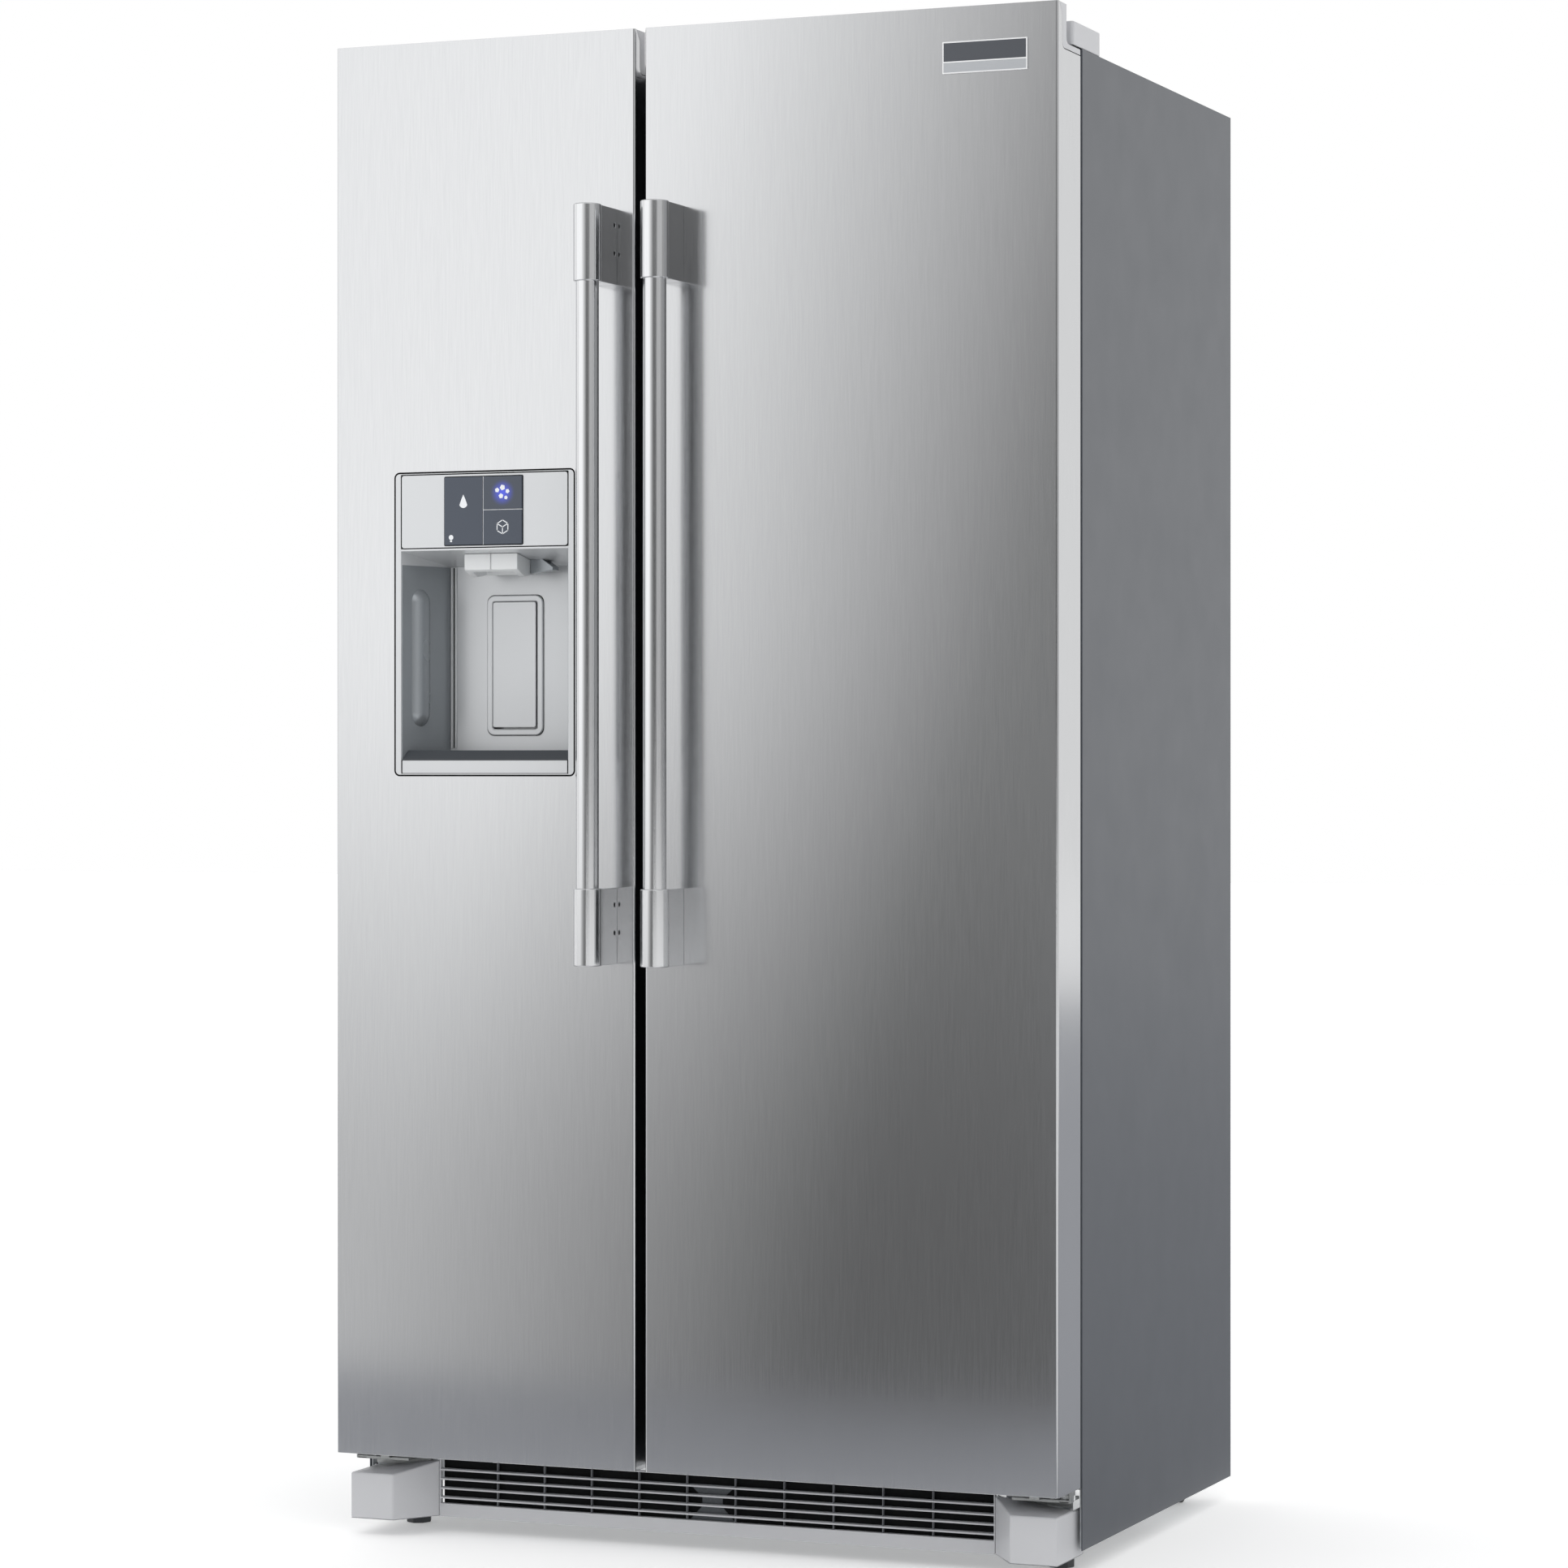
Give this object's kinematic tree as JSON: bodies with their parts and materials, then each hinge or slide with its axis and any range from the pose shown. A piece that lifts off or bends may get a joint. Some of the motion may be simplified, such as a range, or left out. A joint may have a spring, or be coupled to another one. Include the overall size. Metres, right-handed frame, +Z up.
{
  "type": "side by side refrigerator",
  "caption": "Free-standing side-by-side refrigerator with stainless doors, bar handles and a door dispenser for ice and water; doors, drawers, keys, paddle and feet move.",
  "frame": {"origin": "on the floor, below the middle of the whole outline, handles included", "axes": "+X to the right as seen from the front, +Y from the doors to the back, +Z up"},
  "size_m": [0.9144, 0.75, 1.789],
  "materials": {
    "brushed_stainless": "vertically brushed stainless steel",
    "bright_stainless": "finely brushed bright stainless steel",
    "painted_steel": "textured grey paint",
    "galvanised_steel": "galvanised steel",
    "zinc_plate": "zinc plated steel",
    "foam": "foamed insulation",
    "white_plastic": "moulded white polystyrene",
    "grey_plastic": "moulded grey plastic",
    "silver_plastic": "silver painted plastic",
    "slate_plastic": "dark satin plastic",
    "clear_plastic": "clear moulded plastic",
    "shelf_glass": "tempered shelf glass",
    "gasket": "soft vinyl seal",
    "rubber": "black rubber",
    "black_enamel": "black enamel",
    "copper": "copper tube"
  },
  "bodies": {
    "cabinet": {"cabinet_wrapper": "painted_steel", "base_deck": "galvanised_steel", "rear_panel": "galvanised_steel", "rear_access_cover": "galvanised_steel", "evaporator": "zinc_plate", "top_hinge_left": "zinc_plate", "top_hinge_right": "zinc_plate", "bottom_hinge_left": "zinc_plate", "bottom_hinge_right": "zinc_plate", "cabinet_insulation": "foam", "freezer_liner": "white_plastic", "fridge_liner": "white_plastic", "evaporator_cover": "white_plastic", "ice_maker": "white_plastic", "toe_grille": "grey_plastic", "foot_cover_left": "grey_plastic", "foot_cover_right": "grey_plastic", "hinge_cover_left": "grey_plastic", "hinge_cover_right": "grey_plastic", "freezer_shelf_upper": "shelf_glass", "freezer_shelf_lower": "shelf_glass", "fridge_shelf_upper": "shelf_glass", "fridge_shelf_middle": "shelf_glass", "crisper_cover": "shelf_glass", "compressor": "black_enamel", "condenser_coil": "copper"},
    "freezer_door": {"freezer_door_skin": "brushed_stainless", "freezer_door_liner": "white_plastic", "freezer_door_gasket": "gasket", "freezer_handle_bar": "bright_stainless", "freezer_handle_mount_top": "bright_stainless", "freezer_handle_mount_bottom": "bright_stainless", "dispenser_housing": "silver_plastic", "dispenser_fascia": "silver_plastic", "ice_chute": "white_plastic", "freezer_door_bin": "clear_plastic"},
    "fridge_door": {"fridge_door_skin": "brushed_stainless", "fridge_door_liner": "white_plastic", "fridge_door_gasket": "gasket", "fridge_handle_bar": "bright_stainless", "fridge_handle_mount_top": "bright_stainless", "fridge_handle_mount_bottom": "bright_stainless", "badge_plate": "bright_stainless", "fridge_door_bin_upper": "clear_plastic", "fridge_door_bin_middle": "clear_plastic", "fridge_door_bin_lower": "clear_plastic"},
    "water_key": {"water_key": "slate_plastic"},
    "crush_key": {"crush_key": "slate_plastic"},
    "cube_key": {"cube_key": "slate_plastic"},
    "dispenser_paddle": {"dispenser_paddle": "silver_plastic"},
    "drip_tray": {"drip_tray": "slate_plastic"},
    "dairy_lid": {"dairy_lid": "clear_plastic"},
    "ice_bin": {"ice_bin": "clear_plastic"},
    "freezer_basket": {"freezer_basket": "clear_plastic"},
    "crisper_upper": {"crisper_upper": "clear_plastic"},
    "crisper_lower": {"crisper_lower": "clear_plastic"},
    "front_leg_left": {"front_leg_left": "zinc_plate"},
    "front_leg_right": {"front_leg_right": "zinc_plate"},
    "rear_roller_left": {"rear_roller_left": "rubber"},
    "rear_roller_right": {"rear_roller_right": "rubber"}
  },
  "joints": [
    {"name": "freezer_door_swing", "type": "hinge", "parent": "cabinet", "child": "freezer_door", "pos_m": [-0.4465, -0.2405, 0.101], "axis": [0, 0, -1], "range_deg": [0, 120]},
    {"name": "fridge_door_swing", "type": "hinge", "parent": "cabinet", "child": "fridge_door", "pos_m": [0.4465, -0.2405, 0.101], "axis": [0, 0, 1], "range_deg": [0, 120]},
    {"name": "paddle_press", "type": "hinge", "parent": "freezer_door", "child": "dispenser_paddle", "pos_m": [-0.2605, -0.218, 1.12], "axis": [1, 0, 0], "range_deg": [0, 4], "stiffness_Nm_per_rad": 0.4},
    {"name": "water_key_press", "type": "slide", "parent": "freezer_door", "child": "water_key", "axis": [0, 1, 0], "range_m": [0, 0.0015], "stiffness_N_per_m": 400},
    {"name": "crush_key_press", "type": "slide", "parent": "freezer_door", "child": "crush_key", "axis": [0, 1, 0], "range_m": [0, 0.0015], "stiffness_N_per_m": 400},
    {"name": "cube_key_press", "type": "slide", "parent": "freezer_door", "child": "cube_key", "axis": [0, 1, 0], "range_m": [0, 0.0015], "stiffness_N_per_m": 400},
    {"name": "drip_tray_slide", "type": "slide", "parent": "freezer_door", "child": "drip_tray", "axis": [0, -1, 0], "range_m": [0, 0.07]},
    {"name": "dairy_lid_lift", "type": "hinge", "parent": "fridge_door", "child": "dairy_lid", "pos_m": [0.1935, -0.15, 1.625], "axis": [1, 0, 0], "range_deg": [0, 75]},
    {"name": "ice_bin_slide", "type": "slide", "parent": "cabinet", "child": "ice_bin", "axis": [0, -1, 0], "range_m": [0, 0.08]},
    {"name": "freezer_basket_slide", "type": "slide", "parent": "cabinet", "child": "freezer_basket", "axis": [0, -1, 0], "range_m": [0, 0.09]},
    {"name": "crisper_upper_slide", "type": "slide", "parent": "cabinet", "child": "crisper_upper", "axis": [0, -1, 0], "range_m": [0, 0.09]},
    {"name": "crisper_lower_slide", "type": "slide", "parent": "cabinet", "child": "crisper_lower", "axis": [0, -1, 0], "range_m": [0, 0.09]},
    {"name": "front_leg_left_screw", "type": "slide", "parent": "cabinet", "child": "front_leg_left", "axis": [0, 0, 1], "range_m": [-0.015, 0]},
    {"name": "front_leg_right_screw", "type": "slide", "parent": "cabinet", "child": "front_leg_right", "axis": [0, 0, 1], "range_m": [-0.015, 0]},
    {"name": "rear_roller_left_spin", "type": "hinge", "parent": "cabinet", "child": "rear_roller_left", "pos_m": [-0.4, 0.32, 0.018], "axis": [1, 0, 0], "continuous": true},
    {"name": "rear_roller_right_spin", "type": "hinge", "parent": "cabinet", "child": "rear_roller_right", "pos_m": [0.4, 0.32, 0.018], "axis": [1, 0, 0], "continuous": true}
  ]
}
